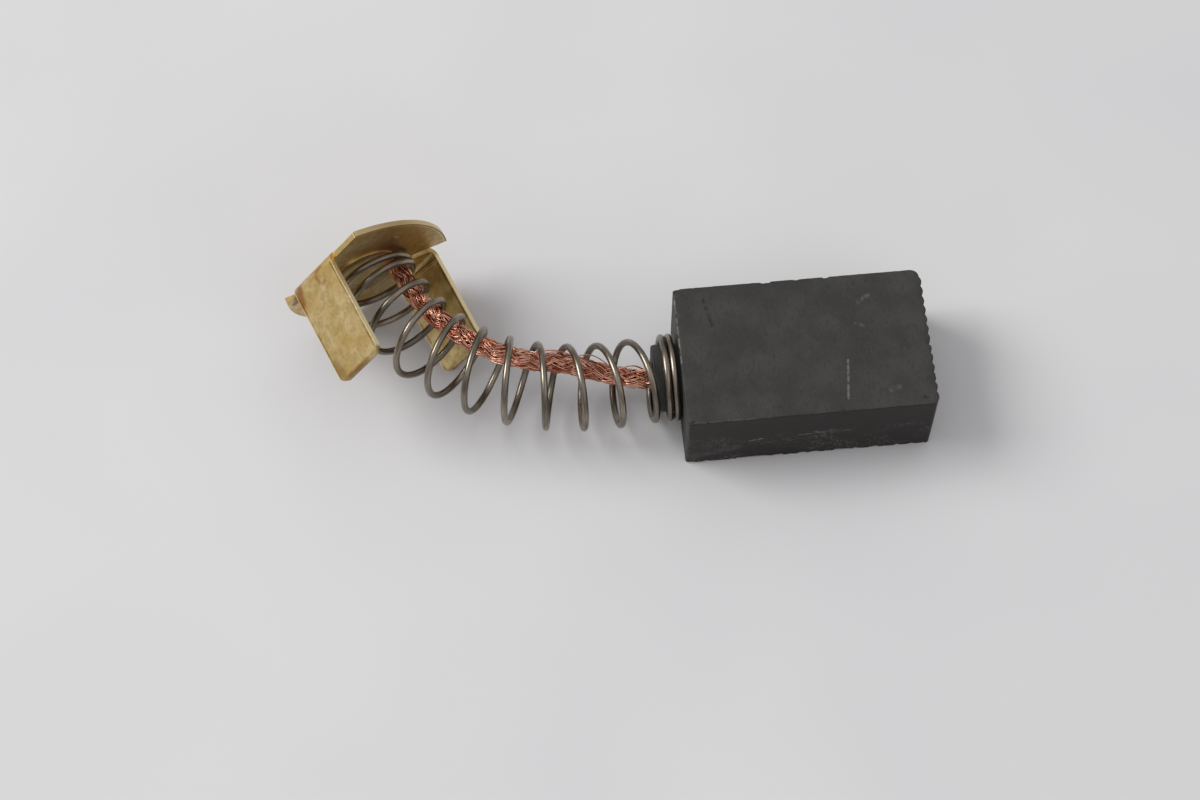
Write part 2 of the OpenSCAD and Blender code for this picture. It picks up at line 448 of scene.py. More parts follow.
@dataclass(frozen=True)
class Electrographite:
    """Pressed and ground electrographite: dry, dark grey, with a fine sandy grain and pale rubbed marks.

    The side at -Y is smooth above band_mm, less band_fall for each mm towards the wear face, and torn below.
    """

    face: str = "3e3d3a"
    dark: str = "343330"
    rubbed: str = "575550"
    side: str = "241f1c"
    grit: str = "625d5b"
    weave: str = "2f2a28"
    grain_mm: float = 0.1
    cloud_mm: float = 2.2
    weave_mm: float = 0.3
    grit_mm: float = 0.16
    gap_mm: float = 0.35
    band_mm: float = 4.05
    band_blur: float = 0.1
    band_fall: float = 0.018
    roughness: float = 0.62
    marks: tuple[Mark, ...] = (
        Mark((-7.04, 4.4, 7.0), (-6.6, 2.3, 7.0), 0.2, "1d1d1c", 0.8),
        Mark((2.96, -1.44, 7.0), (2.6, -4.5, 7.0), 0.13, "82827c", 0.5),
        Mark((4.3, 3.2, 7.0), (5.1, 3.7, 7.0), 0.25, "6c6c66", 0.35),
        Mark((3.9, 1.5, 7.0), (4.4, 1.2, 7.0), 0.22, "6c6c66", 0.3),
        Mark((5.8, -4.1, 7.0), (6.4, -3.9, 7.0), 0.32, "6c6c66", 0.3),
        Mark((8.1, -4.9, 7.0), (8.3, -4.95, 7.0), 0.22, "191918", 0.9),
        Mark((-4.5, -5.5, 3.15), (-3.6, -5.5, 3.35), 0.13, "8a8480", 0.7),
        Mark((-1.0, -5.5, 3.45), (1.6, -5.5, 3.75), 0.1, "8a8480", 0.5),
        Mark((-8.6, -5.5, 1.2), (-5.5, -5.5, 2.2), 0.7, "5d5856", 0.35),
        Mark((-9.2, 4.9, 7.0), (-9.2, -0.5, 7.0), 0.16, "97928a", 0.6),
        Mark((-9.2, -5.5, 7.0), (-3.0, -5.5, 7.0), 0.1, "7a7670", 0.5),
        Mark((-9.2, -5.5, 0.5), (-9.2, -5.5, 6.8), 0.14, "7a7670", 0.45),
    )

    def material(self, block: "CarbonBlock") -> bpy.types.Material:
        """Material of the block and its boss.

        Args:
            block: The block, for the places of its faces.

        Returns:
            The material.
        """
        material, tree, shader = new_material("electrographite")
        place = object_place(tree)
        drawn = add(tree, "Mapping", {"Vector": place, "Scale": (1.6, 0.6, 1.0)})
        clouds = add(tree, "TexNoise", {"Vector": place, "Scale": per_metre(self.cloud_mm), "Detail": 4.0})
        sand = add(tree, "TexNoise", {"Vector": place, "Scale": per_metre(self.grain_mm), "Detail": 3.0})
        weave = add(tree, "TexNoise", {"Vector": drawn, "Scale": per_metre(self.weave_mm), "Detail": 4.0})
        grit = add(tree, "TexNoise", {"Vector": place, "Scale": per_metre(self.grit_mm), "Detail": 4.0})
        gaps = add(tree, "TexNoise", {"Vector": place, "Scale": per_metre(self.gap_mm), "Detail": 3.0})
        axes = add(tree, "SeparateXYZ", {0: place}).node.outputs
        aside = product(tree, axes["Y"], -1.0)
        side = spread(tree, aside, (block.width / 2 - 0.06) * MM, (block.width / 2 - 0.01) * MM)
        fall = product(tree, axes["X"], self.band_fall)
        band = add(tree, "Math", {0: axes["Z"], 1: fall}, operation="ADD")
        above, below = (self.band_mm + self.band_blur) * MM, (self.band_mm - self.band_blur) * MM
        torn = product(tree, spread(tree, band, above, below), side)
        gritty = product(tree, spread(tree, grit, 0.5, 0.68), spread(tree, clouds, 0.4, 0.65))
        broken = spread(tree, gaps, 0.3, 0.6)
        coats = [
            (spread(tree, clouds, 0.35, 0.7), self.face),
            (spread(tree, sand, 0.58, 0.8), self.rubbed),
            (product(tree, spread(tree, weave, 0.5, 0.72), 0.5), self.weave),
            (product(tree, side, 0.92), self.side),
            (product(tree, torn, gritty), self.grit),
        ]
        coats += [mark.coat(tree, place, broken) for mark in self.marks]
        relief = add(tree, "Bump", {"Strength": 0.35, "Distance": 0.05 * MM, "Height": sand})
        feed(tree, shader, {"Base Color": layered(tree, self.dark, coats), "Normal": relief})
        feed(tree, shader, {"Roughness": self.roughness, "Specular IOR Level": 0.28})
        return material


@dataclass(frozen=True)
class CopperPowder:
    """Tamped copper powder: grainy, dull and dark red between bright grains."""

    body: str = "7a3420"
    bright: str = "c47a58"
    grain_mm: float = 0.09

    def material(self) -> bpy.types.Material:
        """Material of the tamped plug."""
        material, tree, shader = new_material("tamped_copper_powder")
        place = object_place(tree)
        cells = add(tree, "TexVoronoi", {"Vector": place, "Scale": per_metre(self.grain_mm)})
        bright = spread(tree, cells, 0.45, 0.1)
        relief = add(tree, "Bump", {"Strength": 0.8, "Distance": 0.05 * MM, "Height": bright})
        colour = layered(tree, self.body, [(bright, self.bright)])
        feed(tree, shader, {"Base Color": colour, "Metallic": 0.8, "Roughness": 0.55, "Normal": relief})
        return material


@dataclass(frozen=True)
class DrawnSteel:
    """Drawn spring steel: brownish grey, satin, with faint die lines along the wire."""

    bright: str = "9c9284"
    dark: str = "6a6258"
    smooth: float = 0.2
    rough: float = 0.37
    line_mm: float = 2.5
    cloud_mm: float = 3.0

    def material(self) -> bpy.types.Material:
        """Material of the spring wire. The die lines follow the wire's own place attribute."""
        material, tree, shader = new_material("drawn_spring_steel")
        place = object_place(tree)
        own = add(tree, "Attribute", attribute_name="place").node.outputs["Vector"]
        stretched = add(tree, "Mapping", {"Vector": own, "Scale": (1.0 / self.line_mm, 3.0, 3.0)})
        lines = add(tree, "TexNoise", {"Vector": stretched, "Scale": 1.6, "Detail": 3.0})
        clouds = add(tree, "TexNoise", {"Vector": place, "Scale": per_metre(self.cloud_mm), "Detail": 3.0})
        bright = spread(tree, product(tree, lines, clouds), 0.12, 0.4)
        rough = add(tree, "MapRange", {"Value": lines, "To Min": self.smooth, "To Max": self.rough})
        relief = add(tree, "Bump", {"Strength": 0.12, "Distance": 0.02 * MM, "Height": lines})
        feed(tree, shader, {"Base Color": layered(tree, self.dark, [(bright, self.bright)]), "Metallic": 1.0})
        feed(tree, shader, {"Roughness": rough, "Normal": relief})
        return material


@dataclass(frozen=True)
class BareCopper:
    """Fine bare copper wires: salmon where fresh, brown-red where the air has reached them, round a
    near-black inner tube that is painted shade between the wires.
    """

    fresh: str = "f8c6ab"
    aged: str = "9c4a31"
    # Near-black of the braid's inner tube: painted shade in the gaps between the wires.
    shade_core: str = "3c1008"
    cloud_mm: float = 0.8
    roughness: float = 0.24

    def material(self) -> bpy.types.Material:
        """Material of the braid. A wire's tone attribute sets how far it has aged, and 2 marks the inner
        tube, which is painted shade between the wires.
        """
        material, tree, shader = new_material("bare_copper_strands")
        place = object_place(tree)
        tone = add(tree, "Attribute", attribute_name="tone").node.outputs["Fac"]
        clouds = add(tree, "TexNoise", {"Vector": place, "Scale": per_metre(self.cloud_mm), "Detail": 2.0})
        parts = {0: product(tree, tone, 0.6), 1: product(tree, clouds, 0.6)}
        age = spread(tree, add(tree, "Math", parts, operation="ADD"), 0.2, 0.95)
        # The last coat paints the inner tube near-black, as shade between the wires.
        colour = layered(tree, self.fresh, [(age, self.aged), (spread(tree, tone, 1.2, 1.8), self.shade_core)])
        feed(tree, shader, {"Base Color": colour, "Metallic": 1.0, "Roughness": self.roughness})
        return material


@dataclass(frozen=True)
class RolledBrass:
    """Rolled and stamped sheet brass: pale gold and satin, with brown stains, darker rims, painted highlights
    along the cut edges, painted shade and highlight at the far leg's fold, and painted reflections on the
    upper ear.
    """

    fresh: str = "dec592"
    warm: str = "c3a567"
    stain: str = "94703b"
    olive: str = "b09858"
    rim: str = "6e4a20"
    # Pale cream of the cut edges: a painted highlight where the edges catch the light.
    cut: str = "f6e2b0"
    smooth: float = 0.28
    rough: float = 0.48
    cloud_mm: float = 1.6
    fleck_mm: float = 0.25
    sand_mm: float = 0.55
    gap_mm: float = 0.5
    marks: tuple[Mark, ...] = (
        # Red-brown patch on the upper ear: a painted reflection of the copper braid and the spring.
        Mark((0.4, -1.2, 3.4), (0.4, 1.6, 3.8), 2.4, "b87848", 0.35),
        # Darker band along the ear's root: a painted reflection of the shaded floor and the coils.
        Mark((0.4, -3.5, 2.7), (0.4, 3.0, 2.6), 0.9, "7a5632", 0.25),
        Mark((0.5, -5.8, -1.7), (1.6, -5.8, -2.0), 0.55, "8f5526", 0.75),
        Mark((0.4, -5.8, 1.0), (0.5, -5.8, 0.5), 0.26, "946634", 0.6),
        Mark((0.8, -5.8, 0.3), (1.3, -5.8, 0.35), 0.26, "946634", 0.6),
        Mark((1.55, -5.8, 0.6), (1.5, -5.8, 0.9), 0.24, "946634", 0.5),
        Mark((6.9, -5.8, -1.9), (8.3, -5.8, -1.6), 0.5, "8f6a38", 0.5),
        Mark((0.4, -4.9, -2.8), (0.4, -4.4, -3.8), 0.4, "6e4520", 0.75),
        # Along the far leg's fold: the dark line in the crease is painted shade, the pale line on the bend a
        # painted highlight.
        Mark((0.87, 5.4, 2.2), (0.66, 5.4, -0.3), 0.07, "5a4424", 0.8),
        Mark((1.2, 5.4, 2.2), (0.95, 5.4, -0.3), 0.06, "f0dfb4", 0.7),
        Mark((0.4, -0.7, 4.5), (0.4, -0.4, 4.45), 0.16, "f2dfb8", 0.8),
    )

    def material(self, terminal: "Terminal") -> bpy.types.Material:
        """Material of the terminal, with its rims, stains, painted highlights, painted shade and painted
        reflections placed in the terminal's own frame.

        Args:
            terminal: The terminal, for its lie and its sizes.

        Returns:
            The material.
        """
        material, tree, shader = new_material("rolled_sheet_brass")
        lie = {
            "Vector": object_place(tree),
            "Location": tuple(terminal.lie.origin()),
            "Rotation": tuple(Matrix(terminal.lie.turn().tolist()).to_euler()),
        }
        own = add(tree, "Mapping", lie, vector_type="TEXTURE")
        clouds = add(tree, "TexNoise", {"Vector": own, "Scale": per_metre(self.cloud_mm), "Detail": 4.0})
        flecks = add(tree, "TexNoise", {"Vector": own, "Scale": per_metre(self.fleck_mm), "Detail": 3.0})
        sand = add(tree, "TexNoise", {"Vector": own, "Scale": per_metre(self.sand_mm), "Detail": 5.0})
        gaps = add(tree, "TexNoise", {"Vector": own, "Scale": per_metre(self.gap_mm), "Detail": 3.0})
        broken = spread(tree, gaps, 0.05, 0.45)
        axes = add(tree, "SeparateXYZ", {0: own}).node.outputs
        across = add(tree, "Math", {0: axes["Z"]}, operation="ABSOLUTE")
        half, length = terminal.leg_width / 2, terminal.leg_length
        leg = spread(tree, axes["X"], 0.4 * MM, 0.9 * MM)
        edge = spread(tree, across, (half - 0.3) * MM, (half - 0.14) * MM)
        tip = spread(tree, axes["X"], (length - 0.4) * MM, (length - 0.14) * MM)
        # Band along the legs' long edges and tips, which the darker rim colour covers in patches.
        rim_band = add(tree, "Math", {0: edge, 1: tip}, operation="MAXIMUM")
        # Outermost strip of the legs' long edges, painted pale as a highlight.
        cut = spread(tree, across, (half - 0.1) * MM, (half - 0.02) * MM)
        coats = [
            (spread(tree, clouds, 0.35, 0.7), self.warm),
            (product(tree, spread(tree, sand, 0.42, 0.62), 0.5), self.olive),
            (product(tree, spread(tree, flecks, 0.5, 0.75), 0.3), self.stain),
            (product(tree, rim_band, leg, spread(tree, clouds, 0.25, 0.65), 0.75), self.rim),
            # Painted highlight along the legs' cut edges.
            (product(tree, cut, leg), self.cut),
        ]
        flat = add(tree, "VectorMath", {0: own, 1: (0.0, 1.0, 1.0)}, operation="MULTIPLY")
        centre = tuple(np.array(terminal.ear_centre) * MM)
        reach = add(tree, "VectorMath", {0: flat, 1: centre}, operation="DISTANCE")
        standing = spread(tree, axes["Z"], 2.4 * MM, 2.9 * MM)
        # Rings inside the upper ear's rim: where each starts, where it is whole, its tone and its cover. The
        # pale first ring is a painted highlight along the edge.
        lines = ((0.26, 0.16, self.cut, 0.7), (0.14, 0.08, self.rim, 0.8), (0.05, 0.01, self.fresh, 0.8))
        for inner, outer, tone, cover in lines:
            line = spread(tree, reach, (terminal.ear_radius - inner) * MM, (terminal.ear_radius - outer) * MM)
            coats.append((product(tree, line, standing, cover), tone))
        coats += [mark.coat(tree, own, broken) for mark in self.marks]
        rough = add(tree, "MapRange", {"Value": clouds, "To Min": self.smooth, "To Max": self.rough})
        fine = add(tree, "Bump", {"Strength": 0.12, "Distance": 0.03 * MM, "Height": flecks})
        waves = {"Strength": 0.25, "Distance": 0.15 * MM, "Height": clouds, "Normal": fine}
        feed(tree, shader, {"Base Color": layered(tree, self.fresh, coats), "Metallic": 1.0})
        feed(tree, shader, {"Roughness": rough, "Normal": add(tree, "Bump", waves)})
        return material


@dataclass(frozen=True)
class TinSolder:
    """Tin solder, set dull: pale grey with a frosted skin."""

    skin: str = "b4b4b0"
    dull: str = "8b8b88"
    skin_mm: float = 0.4
    roughness: float = 0.42

    def material(self) -> bpy.types.Material:
        """Material of the solder joint."""
        material, tree, shader = new_material("dull_tin_solder")
        place = object_place(tree)
        skin = add(tree, "TexNoise", {"Vector": place, "Scale": per_metre(self.skin_mm), "Detail": 4.0})
        relief = add(tree, "Bump", {"Strength": 0.3, "Distance": 0.08 * MM, "Height": skin})
        feed(tree, shader, {"Base Color": layered(tree, self.skin, [(skin, self.dull)]), "Normal": relief})
        feed(tree, shader, {"Metallic": 1.0, "Roughness": self.roughness})
        return material


def dress(piece: bpy.types.Object, material: bpy.types.Material) -> None:
    """Gives a piece one material, in place of those that it has.

    Args:
        piece: New piece or CAD node.
        material: The finish.
    """
    if piece.data.materials:
        for slot in piece.material_slots:
            slot.material = material
    else:
        piece.data.materials.append(material)


def enter(piece: bpy.types.Object, body: Body, slot: Slot, *nodes: str) -> None:
    """Rides a new piece on a body, hides the CAD nodes that it stands for, and logs it.

    Args:
        piece: The new piece.
        body: The body that it moves with.
        slot: Its material slot; passed to book, which does not use it.
        nodes: CAD nodes that it replaces.
    """
    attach(piece, body.value)
    book(piece, slot, *nodes)


def book(piece: bpy.types.Object, slot: Slot, *nodes: str) -> None:
    """Hides the CAD nodes that a new piece stands for, and logs the piece's face count.

    Args:
        piece: The new piece.
        slot: Its material slot; not used.
        nodes: CAD nodes that it replaces.
    """
    if nodes:
        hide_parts(*nodes)
    log.info("%s: %d faces", piece.name, len(piece.data.polygons))


# ---- Pieces ----


@dataclass
class CarbonBlock:
    """Carbon block and boss: rounded plan, chipped edges, a wear face cut by fine grooves. Sizes in mm."""

    length: float = 18.4
    width: float = 11.0
    thickness: float = 7.0
    worn_corner: float = 0.6
    corner: float = 0.25
    groove_count: int = 13
    groove_depth: float = 0.14
    edge_radius: float = 0.1
    boss_radius: float = 2.5
    boss_length: float = 1.9
    hole_radius: float = 1.3
    recess: float = 0.25
    chip_size: float = 0.55
    chip_depth: float = 0.18
    flake_size: float = 0.22
    flake_depth: float = 0.06
    step: float = 0.12

    def arc(self, centre: tuple[float, float], radius: float, start: float) -> np.ndarray:
        """Quarter circle from an angle in degrees, anticlockwise.

        Args:
            centre: Centre of the arc.
            radius: Its radius.
            start: Angle at which it starts.

        Returns:
            Points of the arc.
        """
        angle = np.radians(start + np.linspace(0.0, 90.0, 8))
        return np.array(centre) + radius * np.stack([np.cos(angle), np.sin(angle)], axis=-1)

    def outline(self) -> np.ndarray:
        """Plan of the block, anticlockwise, at even steps.

        Grooves: x drops from the wear face by depth times one minus the size of a sine across the width.

        Returns:
            Points of the closed outline.
        """
        half_x, half_y = self.length / 2, self.width / 2
        flat_x = half_x - self.groove_depth
        low, high = self.corner - half_y, half_y - self.worn_corner
        share = np.linspace(0.0, 1.0, self.groove_count * 16 + 1)
        wave = 1.0 - np.abs(np.sin(np.pi * self.groove_count * share))
        wear = np.stack([half_x - self.groove_depth * wave, low + share * (high - low)], axis=-1)
        corners = [
            wear,
            self.arc((flat_x - self.worn_corner, high), self.worn_corner, 0.0),
            self.arc((self.corner - half_x, half_y - self.corner), self.corner, 90.0),
            self.arc((self.corner - half_x, low), self.corner, 180.0),
            self.arc((flat_x - self.corner, low), self.corner, 270.0),
        ]
        line = np.vstack(corners)
        closed = np.vstack([line, line[:1]])
        run = run_along(closed)
        even = np.linspace(0.0, run[-1], int(run[-1] / self.step), endpoint=False)
        return resampled(even, run, closed)

    def profile(self) -> tuple[np.ndarray, np.ndarray, np.ndarray]:
        """Section from the middle of the lower face, up the side, to the middle of the upper face.

        Returns:
            For each step the share of the way in to the middle, the inset at the edge, and the height.
        """
        r = self.edge_radius
        flat = np.linspace(0.0, 1.0, 46)[:-1]
        turn = np.radians(np.linspace(0.0, 90.0, 5))
        side = np.linspace(r, self.thickness - r, int(self.thickness / self.step))[1:-1]
        lower = (np.linspace(1.0, 0.0, 20)[:-1], np.full(19, r), np.zeros(19))
        round_up = (np.zeros(5), r * (1 - np.sin(turn)), r * (1 - np.cos(turn)))
        wall = (np.zeros(len(side)), np.zeros(len(side)), side)
        round_in = (np.zeros(5), r * (1 - np.cos(turn)), self.thickness - r * (1 - np.sin(turn)))
        upper = (flat[1:], np.full(len(flat) - 1, r), np.full(len(flat) - 1, self.thickness))
        parts = (lower, round_up, wall, round_in, upper)
        return tuple(np.concatenate(column) for column in zip(*parts))

    def chipped(self, points: np.ndarray) -> np.ndarray:
        """Points with chips out of the edges: where a random field is high, an edge moves in to the middle.

        Args:
            points: Places in mm.

        Returns:
            The moved places.
        """
        middle = np.array([0.0, 0.0, self.thickness / 2])
        half = np.array([self.length / 2, self.width / 2, self.thickness / 2])
        off = points - middle
        depth = half - np.abs(off)
        near = np.sort(depth, axis=-1)[..., 1]
        chips = ease(grain(points, self.chip_size, 3), 0.66, 0.95) * self.chip_depth
        flakes = ease(grain(points, self.flake_size, 5), 0.6, 0.95) * self.flake_depth
        rough = (grain(points, 0.3, 7) - 0.5) * 0.02
        sunk = ease(near, 0.32, 0.0) * (chips + flakes) - np.minimum(rough, 0.0)
        toward = np.sign(off) * ease(depth, 0.5, 0.0)
        return points - toward * sunk[..., None]

    def body(self) -> Shell:
        """Block without its boss: the plan's outline carried through the profile, then chipped."""
        outline = self.outline()
        tangent = unit(np.roll(outline, -1, axis=0) - np.roll(outline, 1, axis=0))
        normal = np.stack([tangent[:, 1], -tangent[:, 0]], axis=-1)
        share, inset, height = self.profile()
        edge = outline[None] - inset[:, None, None] * normal[None]
        flat = edge * (1.0 - share)[:, None, None]
        tall = np.broadcast_to(height[:, None, None], flat.shape[:2] + (1,))
        return closed_grid(self.chipped(np.concatenate([flat, tall], axis=-1)))

    def boss(self) -> Shell:
        """Boss with the mouth of its hole: a profile of radius and depth turned round the block's axis."""
        end = -self.length / 2 - self.boss_length
        radii = [0.05, self.boss_radius, self.boss_radius, self.boss_radius - 0.03, self.boss_radius - 0.1]
        along = [self.boss_length + 0.4, self.boss_length + 0.4, 0.1, 0.03, 0.0]
        radii += [self.hole_radius + 0.06, self.hole_radius, self.hole_radius, 0.05]
        along += [0.0, 0.05, self.recess + 0.03, self.recess + 0.03]
        steps = np.linspace(0.0, len(radii) - 1.0, 8 * len(radii))
        radius = np.interp(steps, np.arange(len(radii)), radii)
        depth = np.interp(steps, np.arange(len(along)), along)
        angle = 2 * np.pi * np.arange(96) / 96
        ring = np.stack([np.zeros(96), np.cos(angle), np.sin(angle)], axis=-1)
        points = radius[:, None, None] * ring[None]
        points[..., 0] = end + depth[:, None]
        nick = ease(grain(points, 0.4, 11), 0.6, 0.95) * 0.1 * ease(depth, 0.3, 0.0)[:, None]
        points[..., 1:] *= 1.0 - nick[..., None] / self.boss_radius
        points[..., 2] += self.thickness / 2
        return closed_grid(points)

    def build(self) -> None:
        """Makes the block's piece and dresses it and the tamped plug."""
        piece = self.body().joined(self.boss()).piece("carbon_block_skin")
        dress(piece, Electrographite().material(self))
        enter(piece, Body.BRUSH, Slot.CARBON, "carbon_block")
        dress(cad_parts["tamped_plug"], CopperPowder().material())


@dataclass
class TerminalLie:
    """How the terminal lies on the floor. Sizes in mm and degrees."""

    behind: float = 31.75
    aside: float = 9.75
    roll: float = 42.5
    dip: float = 4.4
    way: float = 67.4
    rim_radius: float = 7.15
    rim_centre: Point = (0.4, 0.15, 1.25)
    tip: Point = (8.5, 5.8, -2.25)

    def turn(self) -> np.ndarray:
        """Matrix of the roll about X, then the dip about Y, then the turn about Z."""
        about = [(-self.way, "Z"), (self.dip, "Y"), (-self.roll, "X")]
        z, y, x = (np.array(Matrix.Rotation(math.radians(angle), 3, axis)) for angle, axis in about)
        return z @ y @ x

    def origin(self) -> np.ndarray:
        """Middle of the base's outer face in metres, as high as the lower rim or the lower tip makes it."""
        rim_centre, tip = (self.turn() @ np.array(point) for point in (self.rim_centre, self.tip))
        rim_drop = self.rim_radius * math.cos(math.radians(self.dip)) - rim_centre[2]
        tip_drop = -tip[2]
        return np.array([-self.behind, self.aside, max(rim_drop, tip_drop)]) * MM

    def placed(self, point: Point) -> np.ndarray:
        """Place in metres of a point of the terminal's own frame, given in mm."""
        return self.origin() + self.turn() @ (np.array(point) * MM)


@dataclass
class BentAxis:
    """Bent centre line of the spring, a curve of the fourth degree from block to base. Sizes in mm."""

    lie: TerminalLie
    back: float = 9.2
    height: float = 3.5
    straight: float = 1.191
    lead_at_block: float = 2.9
    crown: Point = (12.3, 3.9, 3.6)
    lead_at_terminal: float = 6.7
    seat: Point = (0.85, 0.58, -0.12)
    steps: int = 4000

    def __post_init__(self) -> None:
        """Works out the line, its length and its directions once."""
        start = np.array([-self.back - self.straight, 0.0, self.height])
        behind, aside, rise = self.crown
        seat_x, seat_y, seat_z = self.seat
        knots = [
            start * MM,
            (start - [self.lead_at_block, 0.0, 0.0]) * MM,
            (start + [-behind, -aside, rise]) * MM,
            self.lie.placed((seat_x + self.lead_at_terminal, seat_y, seat_z)),
            self.lie.placed((seat_x, seat_y, seat_z)),
        ]
        u = np.linspace(0.0, 1.0, self.steps)[:, None]
        shares = [math.comb(4, i) * u**i * (1.0 - u) ** (4 - i) for i in range(5)]
        bend = sum(share * knot for share, knot in zip(shares, knots))
        ahead = np.linspace(self.straight * MM, 0.0, 100, endpoint=False)[:, None]
        self.line = np.vstack([bend[0] + ahead * np.array([1.0, 0.0, 0.0]), bend])
        self.ahead = unit(np.gradient(self.line, axis=0))
        self.inner = unit(np.cross(self.ahead, UP))
        self.upper = np.cross(self.inner, self.ahead)
        self.run = run_along(self.line)
        self.length = float(self.run[-1])


@dataclass
class Spring:
    """Compression spring: closed turns on the block, open turns round the bend, closed turns on the base.

    The open turns lie a little wider near the block and closer near the base, by the share that slack gives.
    Sizes in mm.
    """

    axis: BentAxis
    wire_radius: float = 0.25
    coil_radius: float = 3.0
    closed_block: float = 1.65
    open_turns: float = 10.0
    closed_terminal: float = 0.95
    start_angle: float = 228.0
    clearance: float = 0.05
    coil_gap: float = 0.04
    slack: float = 0.045
    steps_per_turn: int = 60
    sides: int = 20

    def centre(self) -> tuple[np.ndarray, np.ndarray]:
        """Centre line of the wire: a circle round the bent axis whose angle grows with the turns.

        Returns:
            Places and outward directions, one row for each step.
        """
        pitch = (2 * self.wire_radius + self.coil_gap) * MM
        first = (self.wire_radius + self.clearance) * MM
        turns = self.closed_block + self.open_turns + self.closed_terminal
        count = np.linspace(0.0, turns, int(turns * self.steps_per_turn))
        marks = [0.0, self.closed_block, turns - self.closed_terminal, turns]
        end = self.axis.length
        runs = [first, first + self.closed_block * pitch, end - self.closed_terminal * pitch, end]
        share = np.clip((count - self.closed_block) / self.open_turns, 0.0, 1.0)
        run = np.interp(count, marks, runs) + self.slack * (runs[2] - runs[1]) * share * (1.0 - share)
        angle = (math.radians(self.start_angle) - 2 * np.pi * count)[:, None]
        inner = unit(resampled(run, self.axis.run, self.axis.inner))
        upper = unit(resampled(run, self.axis.run, self.axis.upper))
        outward = np.cos(angle) * inner + np.sin(angle) * upper
        return resampled(run, self.axis.run, self.axis.line) + self.coil_radius * MM * outward, outward

    def build(self) -> None:
        """Makes the spring's piece, which stretches between the block and the terminal."""
        path, outward = self.centre()
        piece = wires(path[None], outward[None], self.wire_radius * MM, self.sides, 1).piece("spring_wire")
        dress(piece, DrawnSteel().material())
        stretch(piece)
        book(piece, Slot.SPRING, "compression_spring")


def stretch(piece: bpy.types.Object) -> None:
    """Bakes a piece's transform into its mesh.

    Args:
        piece: The spring or the shunt.
    """
    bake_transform(piece)


@dataclass(frozen=True)
class Loop:
    """Wire that stands off the braid in a flat loop.

    Attributes:
        start: Length from the block's back at which it leaves the braid, in mm.
        span: Length over which it stands off, in mm.
        swell: How far it stands off, in mm.
        side: Side of the braid on which it stands, in degrees.
    """

    start: float
    span: float
    swell: float
    side: float


